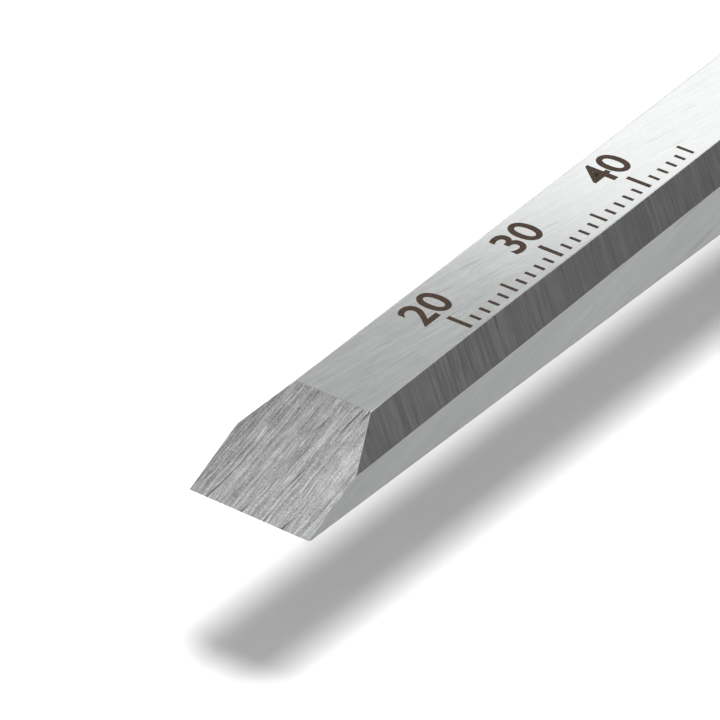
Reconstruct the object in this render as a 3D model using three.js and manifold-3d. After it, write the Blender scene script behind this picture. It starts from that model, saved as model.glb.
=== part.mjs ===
// A 3/8 inch bevel-edge bench chisel: one steel forging whose tang runs right through an octagonal ash
// handle, between brass ferrules, into a screwed-on steel strike cap.
//
// Tool frame, in millimetres: +Y runs from the cutting edge to the butt, +Z is the bevelled side, and the
// origin is on the handle's axis, level with the cutting edge. The last lines move that frame so that the
// part's origin is the middle of its box's base: the tool lies on its lowest handle flat, blade in the air.
import * as THREE from "three";
import { mergeVertices } from "three/addons/utils/BufferGeometryUtils.js";
import Module from "manifold-3d";

// Blade
const BLADE_WIDTH = 9.525; // 3/8 inch
const BLADE_LENGTH = 100; // cutting edge to the shoulder
const EDGE_THICKNESS = 3.95; // the taper carried on to the cutting edge's plane
const THICKNESS_TAPER = 0.038; // mm of thickness gained per mm of length
const TOP_WIDTH = 6.08; // flat top between the side bevels
const GRINDING_ANGLE = 26; // degrees, of the main bevel
const SIDE_BEVEL_ANGLE = 45; // degrees, below the flat top

// Neck, bolster and tang, forged in one with the blade
const TRANSITION_LENGTH = 12; // blade section to round neck
const NECK_RADIUS = 3.9;
const NECK_LENGTH = 20; // shoulder to the start of the flare
const FLARE_LENGTH = 5;
const BOLSTER_RADIUS = 8.6;
const BOLSTER_LENGTH = 4.5;
const BOLSTER_EASING = 0.6; // radius of the bolster's edges
const TANG_RADIUS = 3.4;
const THREAD_RADIUS = 2.95; // M6 end, drawn plain
const THREAD_LENGTH = 12;

// Handle
const ACROSS_FLATS = 28;
const HANDLE_LENGTH = 128;
const TURNED_RADIUS = 15.4; // turned blank, just outside the octagon's corners
const FRONT_SPIGOT_RADIUS = 8.75;
const REAR_SPIGOT_RADIUS = 11.3;
const FRONT_COVE_LENGTH = 13; // ferrule to full octagon
const REAR_ROUNDING = 11; // full octagon to rear ferrule
const BORE_CLEARANCE = 0.4;

// Ferrules and their brads
const FRONT_FERRULE = { inner: 9.05, outer: 10.2, length: 15, bead: 0.7 };
const REAR_FERRULE = { inner: 11.6, outer: 12.6, length: 13, bead: 0.5 };
const BRAD = { shank: 0.65, hole: 0.95, head: 1.35, dome: 0.5, length: 5.5 };

// Washers, strike cap and its grub screw
const BOLSTER_WASHER = { inner: 3.8, outer: 9.0, thickness: 2.6 };
const STRIKE_WASHER = { inner: 3.8, outer: 12.2, thickness: 2.2 };
const CAP_RADIUS = 12.4;
const CAP_LENGTH = 11;
const CAP_EASING = 1.8; // radius round the struck face
const CAP_THREAD_DEPTH = 8;
const THREAD_CLEARANCE = 0.3;
const GRUB_SCREW = { radius: 2, hole: 2.3, length: 8.2, socketRadius: 1.15, socketDepth: 2.2 };

const FACE_GAP = 0.05; // between stacked faces that touch on the real tool
const ROUND_SIDES = 40;
const SMALL_SIDES = 16;
const EDGE_STEPS = 6; // points along each edge of the blade's section
const ARC_STEPS = 5;

// Places along the tool, from the cutting edge
const FLARE_START = BLADE_LENGTH + NECK_LENGTH;
const BOLSTER_START = FLARE_START + FLARE_LENGTH;
const BOLSTER_END = BOLSTER_START + BOLSTER_LENGTH;
const BOLSTER_WASHER_START = BOLSTER_END + FACE_GAP;
const HANDLE_START = BOLSTER_WASHER_START + BOLSTER_WASHER.thickness + FACE_GAP;
const HANDLE_END = HANDLE_START + HANDLE_LENGTH;
const STRIKE_WASHER_START = HANDLE_END + FACE_GAP;
const CAP_START = STRIKE_WASHER_START + STRIKE_WASHER.thickness + FACE_GAP;
const CAP_END = CAP_START + CAP_LENGTH;
const THREAD_END = CAP_START + CAP_THREAD_DEPTH - FACE_GAP;
const THREAD_START = THREAD_END - THREAD_LENGTH;
const REST_HEIGHT = ACROSS_FLATS / 2; // handle's axis above the bench

const wasm = await Module();
wasm.setup();

// ---- Solids ----

// A closed three.js geometry as a manifold-3d solid.
function toSolid(geometry) {
  const bare = geometry.clone();
  bare.deleteAttribute("normal");
  bare.deleteAttribute("uv");
  const merged = mergeVertices(bare, 1e-4);
  return new wasm.Manifold(
    new wasm.Mesh({
      numProp: 3,
      vertProperties: merged.attributes.position.array,
      triVerts: new Uint32Array(merged.index.array),
    }),
  );
}

// A manifold-3d solid as a three.js geometry.
function toGeometry(solid) {
  const { vertProperties, triVerts } = solid.getMesh();
  const geometry = new THREE.BufferGeometry();
  geometry.setAttribute("position", new THREE.BufferAttribute(vertProperties, 3));
  geometry.setIndex(new THREE.BufferAttribute(triVerts, 1));
  geometry.computeVertexNormals();
  return geometry;
}

// A solid turned about the tool's axis. The profile is [radius, y] pairs, up the outside.
function turned(profile, sides = ROUND_SIDES) {
  const points = profile.map(([radius, y]) => new THREE.Vector2(radius, y));
  return toSolid(new THREE.LatheGeometry(points, sides));
}

// A closed skin over rings of [x, y, z] points that run round the axis from +Z towards +X.
function skinOver(rings) {
  const count = rings[0].length;
  const positions = rings.flat(2);
  const last = (rings.length - 1) * count;
  const triangles = [];
  for (let ring = 0; ring < rings.length - 1; ring++) {
    for (let i = 0; i < count; i++) {
      const here = ring * count;
      const next = here + count;
      const j = (i + 1) % count;
      triangles.push(here + i, here + j, next + i, next + i, here + j, next + j);
    }
  }
  for (let i = 1; i < count - 1; i++) {
    triangles.push(0, i + 1, i);
    triangles.push(last, last + i, last + i + 1);
  }
  const geometry = new THREE.BufferGeometry();
  geometry.setAttribute("position", new THREE.Float32BufferAttribute(positions, 3));
  geometry.setIndex(triangles);
  return toSolid(geometry);
}

// [radius, y] points of a quarter turn about a centre, between two angles in degrees from the +radius axis.
function arc(radius, y, size, from, to) {
  return Array.from({ length: ARC_STEPS + 1 }, (_, i) => {
    const angle = THREE.MathUtils.degToRad(from + ((to - from) * i) / ARC_STEPS);
    return [radius + size * Math.cos(angle), y + size * Math.sin(angle)];
  });
}

// A cylinder lying along X, from x = start outwards.
function crossCylinder(radius, start, length, y, sides) {
  const cylinder = new THREE.CylinderGeometry(radius, radius, length, sides);
  cylinder.rotateZ(Math.PI / 2).translate(start + length / 2, y, 0);
  return toSolid(cylinder);
}

// ---- Forging: blade, neck, bolster and tang ----

const SHOULDER_THICKNESS = EDGE_THICKNESS + THICKNESS_TAPER * BLADE_LENGTH;
const BACK_Z = -SHOULDER_THICKNESS / 2; // flat back, below the handle's axis

// Corners of the blade's section at y as [x, z], from the top left and clockwise seen from the tip.
function bladeCorners(y) {
  const halfWidth = BLADE_WIDTH / 2;
  const halfTop = TOP_WIDTH / 2;
  const top = BACK_Z + EDGE_THICKNESS + THICKNESS_TAPER * y;
  const drop = Math.tan(THREE.MathUtils.degToRad(SIDE_BEVEL_ANGLE)) * (halfWidth - halfTop);
  return [
    [-halfTop, top],
    [halfTop, top],
    [halfWidth, top - drop],
    [halfWidth, BACK_Z],
    [-halfWidth, BACK_Z],
    [-halfWidth, top - drop],
  ];
}

// The blade's section at y as a ring of points, with the same count of points on each of its edges.
function bladeRing(y) {
  const corners = bladeCorners(y);
  return corners.flatMap(([x, z], i) => {
    const [nextX, nextZ] = corners[(i + 1) % corners.length];
    return Array.from({ length: EDGE_STEPS }, (_, step) => {
      const share = step / EDGE_STEPS;
      return [x + (nextX - x) * share, y, z + (nextZ - z) * share];
    });
  });
}

// The shoulder's ring carried to y and drawn towards a circle: roundness 0 keeps the blade's section.
function neckRing(y, radius, roundness) {
  return bladeRing(BLADE_LENGTH).map(([x, , z]) => {
    const reach = Math.hypot(x, z);
    const scale = THREE.MathUtils.lerp(1, radius / reach, roundness);
    return [x * scale, y, z * scale];
  });
}

function forging() {
  const transition = [0.15, 0.3, 0.45, 0.6, 0.8, 1].map((share) =>
    neckRing(
      BLADE_LENGTH + TRANSITION_LENGTH * share,
      NECK_RADIUS,
      THREE.MathUtils.smoothstep(share, 0, 1),
    ),
  );
  const flareSize = BOLSTER_RADIUS - BOLSTER_EASING - NECK_RADIUS;
  const flare = [0, 25, 50, 70, 90].map((degrees) => {
    const angle = THREE.MathUtils.degToRad(degrees);
    return [
      NECK_RADIUS + flareSize * (1 - Math.cos(angle)),
      FLARE_START + FLARE_LENGTH * Math.sin(angle),
    ];
  });
  const roundProfile = [
    ...flare,
    ...arc(BOLSTER_RADIUS - BOLSTER_EASING, BOLSTER_START + BOLSTER_EASING, BOLSTER_EASING, -90, 0),
    ...arc(BOLSTER_RADIUS - BOLSTER_EASING, BOLSTER_END - BOLSTER_EASING, BOLSTER_EASING, 0, 90),
    [TANG_RADIUS, BOLSTER_END],
    [TANG_RADIUS, THREAD_START],
    [THREAD_RADIUS, THREAD_START + TANG_RADIUS - THREAD_RADIUS],
    [THREAD_RADIUS, THREAD_END],
  ];
  const rings = [
    bladeRing(0),
    bladeRing(BLADE_LENGTH),
    ...transition,
    ...roundProfile.map(([radius, y]) => neckRing(y, radius, 1)),
  ];
  return skinOver(rings).subtract(aboveMainBevel());
}

// The waste above the main bevel: a block whose underside is the bevel's plane through the cutting edge.
function aboveMainBevel() {
  const length = 4 * EDGE_THICKNESS;
  const height = 3 * EDGE_THICKNESS;
  const block = new THREE.BoxGeometry(2 * BLADE_WIDTH, 2 * length, height);
  block.translate(0, 0, height / 2);
  block.rotateX(THREE.MathUtils.degToRad(GRINDING_ANGLE));
  block.translate(0, 0, BACK_Z);
  return toSolid(block);
}

// ---- Handle ----

function handle() {
  const corneredLength = HANDLE_END - REAR_FERRULE.length - REAR_ROUNDING;
  const coveStart = HANDLE_START + FRONT_FERRULE.length + FACE_GAP;
  const rise = TURNED_RADIUS - FRONT_FERRULE.outer;
  const cove = [0, 20, 40, 60, 80, 90].map((degrees) => {
    const angle = THREE.MathUtils.degToRad(degrees);
    return [
      FRONT_FERRULE.outer + rise * (1 - Math.cos(angle)),
      coveStart + FRONT_COVE_LENGTH * Math.sin(angle),
    ];
  });
  const fall = TURNED_RADIUS - REAR_FERRULE.outer;
  const rounding = [0, 20, 40, 60, 75, 90].map((degrees) => {
    const angle = THREE.MathUtils.degToRad(degrees);
    return [
      REAR_FERRULE.outer + fall * Math.cos(angle),
      corneredLength + (REAR_ROUNDING - FACE_GAP) * Math.sin(angle),
    ];
  });
  const boreRadius = TANG_RADIUS + BORE_CLEARANCE;
  const blank = turned([
    [boreRadius, HANDLE_START],
    [FRONT_SPIGOT_RADIUS, HANDLE_START],
    [FRONT_SPIGOT_RADIUS, coveStart],
    ...cove,
    ...rounding,
    [REAR_SPIGOT_RADIUS, HANDLE_END - REAR_FERRULE.length - FACE_GAP],
    [REAR_SPIGOT_RADIUS, HANDLE_END],
    [boreRadius, HANDLE_END],
    [boreRadius, HANDLE_START],
  ]);
  const cornerRadius = ACROSS_FLATS / 2 / Math.cos(Math.PI / 8);
  const middle = (HANDLE_START + HANDLE_END) / 2;
  const octagon = new THREE.CylinderGeometry(
    cornerRadius, cornerRadius, 2 * HANDLE_LENGTH, 8, 1, false, Math.PI / 8,
  );
  octagon.translate(0, middle, 0);
  return blank
    .intersect(toSolid(octagon))
    .subtract(bradHole(FRONT_FERRULE, HANDLE_START + FRONT_FERRULE.length / 2))
    .subtract(bradHole(REAR_FERRULE, HANDLE_END - REAR_FERRULE.length / 2));
}

// ---- Ferrules and brads ----

// A brass tube from y, with a rolled bead at its outer end: the front end if beadAtStart.
function ferrule({ inner, outer, length, bead }, start, beadAtStart) {
  const end = start + length;
  const rolled = (y, from, to) => arc(outer - bead, y, bead, from, to);
  const startCorner = beadAtStart ? rolled(start + bead, -90, 0) : [[outer, start]];
  const endCorner = beadAtStart ? [[outer, end]] : rolled(end - bead, 0, 90);
  return turned([[inner, start], ...startCorner, ...endCorner, [inner, end], [inner, start]]);
}

function bradHole({ outer }, y) {
  const depth = BRAD.length + 1;
  return crossCylinder(BRAD.hole, outer - depth, depth + 1, y, SMALL_SIDES);
}

// A brad in the ferrule's +X side: a thin shank under a domed head.
function brad({ outer }, y) {
  const seat = outer + FACE_GAP;
  const profile = [
    [0, -BRAD.length],
    [BRAD.shank, 1 - BRAD.length],
    [BRAD.shank, 0],
    [BRAD.head, 0],
    [BRAD.head * 0.75, BRAD.dome * 0.65],
    [0, BRAD.dome],
  ].map(([radius, height]) => new THREE.Vector2(radius, height));
  const geometry = new THREE.LatheGeometry(profile, SMALL_SIDES);
  geometry.rotateZ(-Math.PI / 2).translate(seat, y, 0);
  return toSolid(geometry);
}

// ---- Washers, strike cap and grub screw ----

// A leather washer with a slightly bulged rim.
function washer({ inner, outer, thickness }, start) {
  const bulge = thickness / 8;
  return turned([
    [inner, start],
    [outer - bulge, start],
    [outer, start + thickness / 4],
    [outer, start + (3 * thickness) / 4],
    [outer - bulge, start + thickness],
    [inner, start + thickness],
    [inner, start],
  ]);
}

const GRUB_SCREW_Y = CAP_START + CAP_LENGTH / 2 - 1;

function strikeCap() {
  const threadRadius = THREAD_RADIUS + THREAD_CLEARANCE;
  const body = turned([
    [0, CAP_START + CAP_THREAD_DEPTH],
    [threadRadius, CAP_START + CAP_THREAD_DEPTH],
    [threadRadius, CAP_START],
    [CAP_RADIUS - CAP_EASING / 4, CAP_START],
    [CAP_RADIUS, CAP_START + CAP_EASING / 4],
    ...arc(CAP_RADIUS - CAP_EASING, CAP_END - CAP_EASING, CAP_EASING, 0, 90),
    [0, CAP_END],
  ]);
  const holeStart = THREAD_RADIUS / 2;
  return body.subtract(
    crossCylinder(GRUB_SCREW.hole, holeStart, CAP_RADIUS, GRUB_SCREW_Y, SMALL_SIDES),
  );
}

// The screw that locks the cap to the tang, with a hexagon socket in its outer end.
function grubScrew() {
  const start = THREAD_RADIUS + THREAD_CLEARANCE;
  const socket = crossCylinder(
    GRUB_SCREW.socketRadius,
    start + GRUB_SCREW.length - GRUB_SCREW.socketDepth,
    GRUB_SCREW.socketDepth + 1,
    GRUB_SCREW_Y,
    6,
  );
  return crossCylinder(
    GRUB_SCREW.radius, start, GRUB_SCREW.length, GRUB_SCREW_Y, SMALL_SIDES,
  ).subtract(socket);
}

// ---- Assembly ----

const STEEL = { color: 0xb4b8b6, roughness: 0.35, metalness: 1 };
const DARK_STEEL = { color: 0x3a3b3d, roughness: 0.45, metalness: 1 };
const BRASS = { color: 0xc9a24b, roughness: 0.3, metalness: 1 };
const ASH = { color: 0xd2ac77, roughness: 0.5, metalness: 0 };
const LEATHER = { color: 0x7a4a2a, roughness: 0.75, metalness: 0 };

const tool = new THREE.Group();

function place(name, solid, finish) {
  const mesh = new THREE.Mesh(toGeometry(solid), new THREE.MeshStandardMaterial(finish));
  mesh.name = name;
  tool.add(mesh);
}

const frontBradY = HANDLE_START + FRONT_FERRULE.length / 2;
const rearBradY = HANDLE_END - REAR_FERRULE.length / 2;
const frontFerruleStart = HANDLE_START;
const rearFerruleStart = HANDLE_END - REAR_FERRULE.length;

place("blade", forging(), STEEL);
place("bolster_washer", washer(BOLSTER_WASHER, BOLSTER_WASHER_START), LEATHER);
place(
  "front_ferrule",
  ferrule(FRONT_FERRULE, frontFerruleStart, true).subtract(bradHole(FRONT_FERRULE, frontBradY)),
  BRASS,
);
place("front_ferrule_brad", brad(FRONT_FERRULE, frontBradY), BRASS);
place("handle", handle(), ASH);
place(
  "rear_ferrule",
  ferrule(REAR_FERRULE, rearFerruleStart, false).subtract(bradHole(REAR_FERRULE, rearBradY)),
  BRASS,
);
place("rear_ferrule_brad", brad(REAR_FERRULE, rearBradY), BRASS);
place("strike_washer", washer(STRIKE_WASHER, STRIKE_WASHER_START), LEATHER);
place("strike_cap", strikeCap(), STEEL);
place("cap_grub_screw", grubScrew(), DARK_STEEL);

tool.position.set(0, -CAP_END / 2, REST_HEIGHT);

const part = new THREE.Group();
part.add(tool);

export default part;
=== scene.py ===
"""A narrow bevel-edge bench chisel on a white studio floor, seen close to its cutting edge.

Every piece is built in the tool's own frame, in millimetres: +Y from the cutting edge to the struck end,
+Z up on the bevelled side, and the origin on the handle's axis, level with the cutting edge. The CAD boxes
say where that frame lies in the model's frame, in metres.
"""
import math

import bmesh
import bpy
from mathutils import Matrix, Vector


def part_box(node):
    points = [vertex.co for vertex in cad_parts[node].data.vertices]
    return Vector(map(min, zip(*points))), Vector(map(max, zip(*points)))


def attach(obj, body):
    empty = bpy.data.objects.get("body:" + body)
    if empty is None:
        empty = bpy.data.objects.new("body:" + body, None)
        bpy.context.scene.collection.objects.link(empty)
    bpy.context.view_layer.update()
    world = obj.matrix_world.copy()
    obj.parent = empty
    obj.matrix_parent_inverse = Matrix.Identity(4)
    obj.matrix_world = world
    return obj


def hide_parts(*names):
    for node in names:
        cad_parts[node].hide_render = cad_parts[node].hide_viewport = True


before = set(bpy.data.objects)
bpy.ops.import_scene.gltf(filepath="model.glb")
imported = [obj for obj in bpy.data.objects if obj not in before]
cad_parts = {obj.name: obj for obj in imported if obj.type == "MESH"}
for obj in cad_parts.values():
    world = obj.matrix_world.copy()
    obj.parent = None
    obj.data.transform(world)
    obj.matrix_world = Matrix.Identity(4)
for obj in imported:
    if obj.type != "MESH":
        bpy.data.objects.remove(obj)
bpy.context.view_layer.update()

MM = 0.001

blade_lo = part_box("blade")[0]
handle_lo, handle_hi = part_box("handle")
ORIGIN = Vector((0.0, blade_lo[1], (handle_lo[2] + handle_hi[2]) / 2))


def mm_box(node):
    """A CAD node's lowest and highest corners, in mm in the tool's frame."""
    lo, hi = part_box(node)
    return (Vector(lo) - ORIGIN) / MM, (Vector(hi) - ORIGIN) / MM


# Blade, in mm
BLADE_WIDTH = 9.525
BLADE_LENGTH = 100.0
EDGE_THICKNESS = 3.95  # the taper carried on to the cutting edge's plane
THICKNESS_TAPER = 0.038
TOP_WIDTH = 6.08
GRINDING_SLOPE = math.tan(math.radians(26))
SIDE_BEVEL_SLOPE = math.tan(math.radians(45))
TRANSITION_LENGTH = 12.0  # blade section to round neck
BACK_Z = -(EDGE_THICKNESS + THICKNESS_TAPER * BLADE_LENGTH) / 2

# ---- Meshes ----

POLE_RADIUS = 0.02  # a turned solid's small flat where it meets the axis, mm
LONGEST_EASE = 0.45  # the share of a side that an eased corner may take


def smooth(share):
    """0..1 eased at both ends."""
    return share * share * (3 - 2 * share)


def bend(start, corner, end, steps):
    """Points of a parabola from start to end that rounds off the corner between them."""
    shares = (step / steps for step in range(steps + 1))
    return [start * (1 - t) ** 2 + corner * 2 * t * (1 - t) + end * t ** 2 for t in shares]


def piece(name, vertices, faces, material_slots, record_slot, sharp_angle=30.0, face_slots=None):
    """A mesh object from points in mm in the tool's frame, riding on the tool."""
    mesh = bpy.data.meshes.new(name)
    mesh.from_pydata([Vector(v) * MM + ORIGIN for v in vertices], [], faces)
    for material in material_slots:
        mesh.materials.append(material)
    if face_slots:
        for polygon, index in zip(mesh.polygons, face_slots):
            polygon.material_index = index
    mesh.validate()
    mesh.shade_smooth()
    mesh.set_sharp_from_angle(angle=math.radians(sharp_angle))
    obj = bpy.data.objects.new(name, mesh)
    bpy.context.scene.collection.objects.link(obj)
    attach(obj, "root")
    return obj


def skin(rings, capped=True):
    """Vertices and faces over rings of points that run round +Y from +Z towards +X."""
    count = len(rings[0])
    vertices = [p for ring in rings for p in ring]
    faces = []
    for j in range(len(rings) - 1):
        for i in range(count):
            here, there = j * count + i, j * count + (i + 1) % count
            faces.append((here, there, there + count, here + count))
    if capped:
        last = (len(rings) - 1) * count
        faces.append(tuple(range(count - 1, -1, -1)))
        faces.append(tuple(range(last, last + count)))
    return vertices, faces


def circle_ring(radius, y, count):
    """Points round the tool's axis, from +Z towards +X."""
    turns = (2 * math.pi * i / count for i in range(count))
    return [(radius * math.sin(t), y, radius * math.cos(t)) for t in turns]


def eased(profile, radius, steps=4):
    """A profile of (radius, y) corners with each inner corner rounded off."""
    points = [profile[0]]
    for before, corner, after in zip(profile, profile[1:], profile[2:]):
        corner_point = Vector(corner)
        back = Vector(before) - corner_point
        ahead = Vector(after) - corner_point
        reach = min(radius, back.length * LONGEST_EASE, ahead.length * LONGEST_EASE)
        start = corner_point + back.normalized() * reach
        end = corner_point + ahead.normalized() * reach
        points += [tuple(point) for point in bend(start, corner_point, end, steps)]
    points.append(profile[-1])
    return points


def turned(profile, count=128):
    """Vertices and faces of a solid turned about the axis. An open profile ends in flat caps."""
    return skin([circle_ring(max(radius, POLE_RADIUS), y, count) for radius, y in profile])


def tube(profile, count=128):
    """Vertices and faces of a ring turned about the axis from a closed profile."""
    vertices, faces = skin([circle_ring(radius, y, count) for radius, y in profile], capped=False)
    last = (len(profile) - 1) * count
    for i in range(count):
        j = (i + 1) % count
        faces.append((last + i, last + j, j, i))
    return vertices, faces


# ---- Materials ----


class Finish:
    """A node material on one Principled shader, built from plain calls. Lengths are in mm."""

    def __init__(self, name, metallic=0.0):
        self.material = bpy.data.materials.new(name)
        self.material.use_nodes = True
        self.tree = self.material.node_tree
        self.shader = self.tree.nodes["Principled BSDF"]
        self.shader.inputs["Metallic"].default_value = metallic
        coords = self.add("ShaderNodeTexCoord").outputs["Object"]
        self.place = self.vector("SCALE", self.vector("SUBTRACT", coords, tuple(ORIGIN)), scale=1 / MM)

    def add(self, kind, **settings):
        node = self.tree.nodes.new(kind)
        for key, value in settings.items():
            setattr(node, key, value)
        return node

    def feed(self, socket, value):
        """Links a socket to an output, or sets its value."""
        if isinstance(value, bpy.types.NodeSocket):
            self.tree.links.new(value, socket)
        else:
            socket.default_value = value

    def vector(self, operation, a, b=None, scale=None):
        node = self.add("ShaderNodeVectorMath", operation=operation)
        self.feed(node.inputs[0], a)
        if b is not None:
            self.feed(node.inputs[1], b)
        if scale is not None:
            self.feed(node.inputs["Scale"], scale)
        return node.outputs["Value" if operation in ("DOT_PRODUCT", "LENGTH") else "Vector"]

    def math(self, operation, a, b=0.0):
        node = self.add("ShaderNodeMath", operation=operation)
        self.feed(node.inputs[0], a)
        self.feed(node.inputs[1], b)
        return node.outputs[0]

    def scaled(self, value, factor):
        return self.math("MULTIPLY", value, factor)

    def join(self, x, y, z=0.0):
        node = self.add("ShaderNodeCombineXYZ")
        for socket, value in zip(node.inputs, (x, y, z)):
            self.feed(socket, value)
        return node.outputs[0]

    def split(self, vector):
        node = self.add("ShaderNodeSeparateXYZ")
        self.feed(node.inputs[0], vector)
        return node.outputs

    def noise(self, vector, scale, detail=2.0, roughness=0.5):
        node = self.add("ShaderNodeTexNoise")
        self.feed(node.inputs["Vector"], vector)
        for key, value in (("Scale", scale), ("Detail", detail), ("Roughness", roughness)):
            node.inputs[key].default_value = value
        return node.outputs["Fac"]

    def remap(self, value, low, high, to_low=0.0, to_high=1.0):
        """The value stretched from low..high to to_low..to_high, and held there."""
        node = self.add("ShaderNodeMapRange", interpolation_type="SMOOTHSTEP")
        for socket, number in zip(node.inputs[:5], (value, low, high, to_low, to_high)):
            self.feed(socket, number)
        return node.outputs[0]

    def blend(self, factor, a, b):
        node = self.add("ShaderNodeMix", data_type="RGBA")
        self.feed(node.inputs["Factor"], factor)
        self.feed(node.inputs["A"], a if isinstance(a, bpy.types.NodeSocket) else (*a, 1.0))
        self.feed(node.inputs["B"], b if isinstance(b, bpy.types.NodeSocket) else (*b, 1.0))
        return node.outputs["Result"]

    def drawn_out(self, across, along, detail=2.0, roughness=0.5):
        """Noise with so many features per mm across the tool and along it."""
        stretched = self.vector("MULTIPLY", self.place, (across, along, across))
        return self.noise(stretched, 1.0, detail, roughness)

    def turning_lines(self, per_mm):
        """Fine rings round the tool, left by turning or linishing."""
        return self.drawn_out(0.0, per_mm, 3.0, 0.7)

    def from_axis(self):
        """Distance from the tool's axis, in mm."""
        return self.vector("LENGTH", self.vector("MULTIPLY", self.place, (1.0, 0.0, 1.0)))

    def scratches(self, along, across, per_mm, length, detail=2.0, seed=0.0):
        """Streaks that run along one direction: per_mm of them across it, each about length mm."""
        u = self.math("MULTIPLY", self.vector("DOT_PRODUCT", self.place, across), per_mm)
        v = self.math("DIVIDE", self.vector("DOT_PRODUCT", self.place, along), length)
        return self.noise(self.join(u, v, seed), 1.0, detail, 0.6)

    def bump(self, height, depth, normal=None):
        """A bump from a 0..1 height that stands for depth mm."""
        node = self.add("ShaderNodeBump")
        node.inputs["Distance"].default_value = depth * MM
        node.inputs["Strength"].default_value = 1.0
        self.feed(node.inputs["Height"], height)
        if normal is not None:
            self.feed(node.inputs["Normal"], normal)
        return node.outputs[0]

    def set(self, **values):
        """Sets or links the shader's sockets: set(Roughness=0.3, Base_Color=socket)."""
        for key, value in values.items():
            self.feed(self.shader.inputs[key.replace("_", " ")], value)
        return self.material


def direction(x, y, z):
    return Vector((x, y, z)).normalized()


def leaning(vector, degrees, normal):
    """The vector turned about a normal."""
    return Matrix.Rotation(math.radians(degrees), 3, normal) @ vector


def toned(tone, factor):
    """A colour made darker or lighter, up to white."""
    return tuple(min(1.0, channel * factor) for channel in tone)


def ground_steel(name, along, normal, tone, contrast, roughness, fine=5.0, length=2.5, band=0.2, grain=0.2,
                 painted_light_drift=None):
    """Steel ground in one direction: long and short grinding lines that come and go, broader bands, fine
    grain, and a few dark and bright scratches.

    fine is lines per mm and length is in mm. band and grain are the shares of the bands and the grain in the
    pattern. painted_light_drift is (direction, from mm, to mm, painted_darkening, painted_lightening):
    painted shade and light, the tone darkened towards the start and lightened towards the end along that
    direction.
    """
    finish = Finish(name, metallic=1.0)
    scaled = finish.scaled

    def lines(lean, per_mm, reach, detail, seed):
        heading = leaning(along, lean, normal)
        return finish.scratches(heading, heading.cross(normal), per_mm, reach, detail, seed)

    long_lines = finish.remap(lines(0, fine, length * 6, 1.0, 1.3), 0.34, 0.66)
    short_lines = finish.remap(lines(1.5, fine * 1.3, length, 1.5, 5.1), 0.34, 0.66)
    patch = finish.remap(finish.noise(finish.place, 0.9, 2.0), 0.4, 0.6)
    bands = finish.remap(lines(-2, fine / 5, length * 3, 2.0, 9.7), 0.3, 0.7)
    speckle = finish.remap(finish.noise(finish.place, 13.0, 1.0), 0.3, 0.7)
    dark_score = finish.remap(lines(-5, fine * 0.7, length * 2.5, 0.5, 3.3), 0.68, 0.78)
    bright_score = finish.remap(lines(6, fine * 0.8, length * 2.0, 0.5, 7.9), 0.7, 0.8)

    shade = scaled(finish.math("ADD", scaled(long_lines, 0.5), scaled(short_lines, 0.5)), 1 - band - grain)
    shade = finish.math("ADD", shade, scaled(finish.math("MULTIPLY", long_lines, patch), 0.12))
    shade = finish.math("ADD", shade, scaled(bands, band))
    shade = finish.math("ADD", shade, scaled(speckle, grain))
    colour = finish.blend(shade, toned(tone, 1 - contrast), toned(tone, 1 + contrast))
    # Painted shade and light: an optional tone gradient along one direction
    if painted_light_drift:
        heading, low, high, painted_darkening, painted_lightening = painted_light_drift
        reach = finish.remap(finish.vector("DOT_PRODUCT", finish.place, heading), low, high)
        colour = finish.blend(reach, finish.blend(painted_darkening, colour, (0.0, 0.0, 0.0)),
                              finish.blend(painted_lightening, colour, (1.0, 1.0, 1.0)))
    colour = finish.blend(scaled(dark_score, min(1.0, contrast * 2.2)), colour, toned(tone, 0.35))
    colour = finish.blend(scaled(bright_score, min(1.0, contrast * 1.8)), colour, toned(tone, 1.7))
    swing = min(0.05, contrast * 0.15)
    rough = finish.remap(shade, 0.2, 0.8, roughness - swing, roughness + swing)
    height = finish.math("SUBTRACT", shade, scaled(dark_score, 0.5))
    return finish.set(Base_Color=colour, Roughness=rough, Normal=finish.bump(height, contrast * 0.012))


# ---- Blade ----

ALONG = direction(0, 1, 0)
RIGHTWARD = direction(1, 0, 0)
UPWARD = direction(0, 0, 1)
PRIMARY_UP = direction(0, 1, GRINDING_SLOPE)
PRIMARY_NORMAL = direction(0, -GRINDING_SLOPE, 1)
SIDE_DOWN = direction(1, 0, -SIDE_BEVEL_SLOPE)
SIDE_NORMAL = direction(SIDE_BEVEL_SLOPE, 0, 1)
SIDES = 6  # of the blade's section: top, right bevel, right land, back, left land, left bevel
PRIMARY, EDGE, FORGED = range(SIDES, SIDES + 3)  # the face slots that follow the sides' own


def mirrored(vector):
    return Vector((-vector.x, vector.y, vector.z))


def side_bevel_steel(name, along, normal):
    # The side bevels' darker tone is partly their grind's own finish, partly painted shade
    return ground_steel(name, along, normal, (0.478, 0.478, 0.482), 0.17, 0.3,
                        fine=7.0, length=2.5, band=0.15, grain=0.14)


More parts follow.
